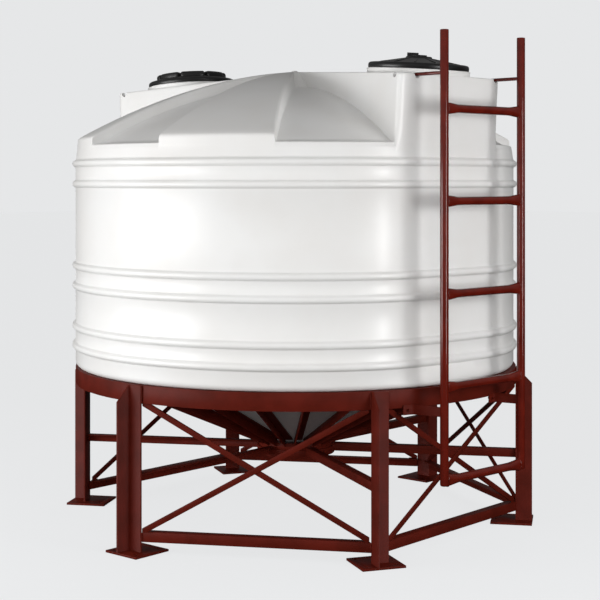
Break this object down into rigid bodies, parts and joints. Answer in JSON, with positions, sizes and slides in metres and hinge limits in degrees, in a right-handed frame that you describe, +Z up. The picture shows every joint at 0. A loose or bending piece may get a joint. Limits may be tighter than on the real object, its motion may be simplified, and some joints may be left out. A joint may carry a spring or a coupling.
{
  "type": "chemical storage tank",
  "caption": "cone-bottomed white polyethylene chemical storage tank with domed ribbed shell and screw-lid manholes, on a legged red steel stand with a fixed ladder",
  "frame": {"origin": "middle of the whole part's footprint at ground level; the tank's own axis stands at x 0, y 0.0565", "axes": "+Z is up; the ladder and the front manhole face -Y; +X is to the right of someone who faces the ladder"},
  "size_m": [2.3724, 2.337, 2.323],
  "materials": {
    "white_polyethylene": "rotationally moulded, satin",
    "black_polyethylene": "moulded, satin",
    "red_oxide_steel": "red oxide paint, satin"
  },
  "bodies": {
    "root": {"cone_bottom": "white_polyethylene", "wall_panel_front": "white_polyethylene", "wall_panel_back": "white_polyethylene", "wall_right_front": "white_polyethylene", "wall_right_back": "white_polyethylene", "wall_left_front": "white_polyethylene", "wall_left_back": "white_polyethylene", "roof_right": "white_polyethylene", "roof_left": "white_polyethylene", "roof_crown": "white_polyethylene", "manhole_box_front": "white_polyethylene", "manhole_box_back": "white_polyethylene", "manhole_top_front": "white_polyethylene", "manhole_top_back": "white_polyethylene", "manhole_lid_front": "black_polyethylene", "manhole_lid_back": "black_polyethylene", "ring_beam": "red_oxide_steel", "star_beams": "red_oxide_steel", "cone_cradle": "red_oxide_steel", "leg_front_right": "red_oxide_steel", "leg_right": "red_oxide_steel", "leg_back_right": "red_oxide_steel", "leg_back_left": "red_oxide_steel", "leg_left": "red_oxide_steel", "leg_front_left": "red_oxide_steel", "tie_front_right": "red_oxide_steel", "tie_right": "red_oxide_steel", "tie_back_right": "red_oxide_steel", "tie_left": "red_oxide_steel", "tie_front_left": "red_oxide_steel", "brace_front_right_outer": "red_oxide_steel", "brace_front_right_inner": "red_oxide_steel", "brace_right_outer": "red_oxide_steel", "brace_right_inner": "red_oxide_steel", "brace_back_right_outer": "red_oxide_steel", "brace_back_right_inner": "red_oxide_steel", "brace_left_outer": "red_oxide_steel", "brace_left_inner": "red_oxide_steel", "brace_front_left_outer": "red_oxide_steel", "brace_front_left_inner": "red_oxide_steel", "ladder_rail_left": "red_oxide_steel", "ladder_rail_right": "red_oxide_steel", "ladder_hook_left": "red_oxide_steel", "ladder_hook_right": "red_oxide_steel", "ladder_bracket_left": "red_oxide_steel", "ladder_bracket_right": "red_oxide_steel", "ladder_rung_1": "red_oxide_steel", "ladder_rung_2": "red_oxide_steel", "ladder_rung_3": "red_oxide_steel", "ladder_rung_4": "red_oxide_steel", "ladder_rung_5": "red_oxide_steel"}
  },
  "joints": []
}
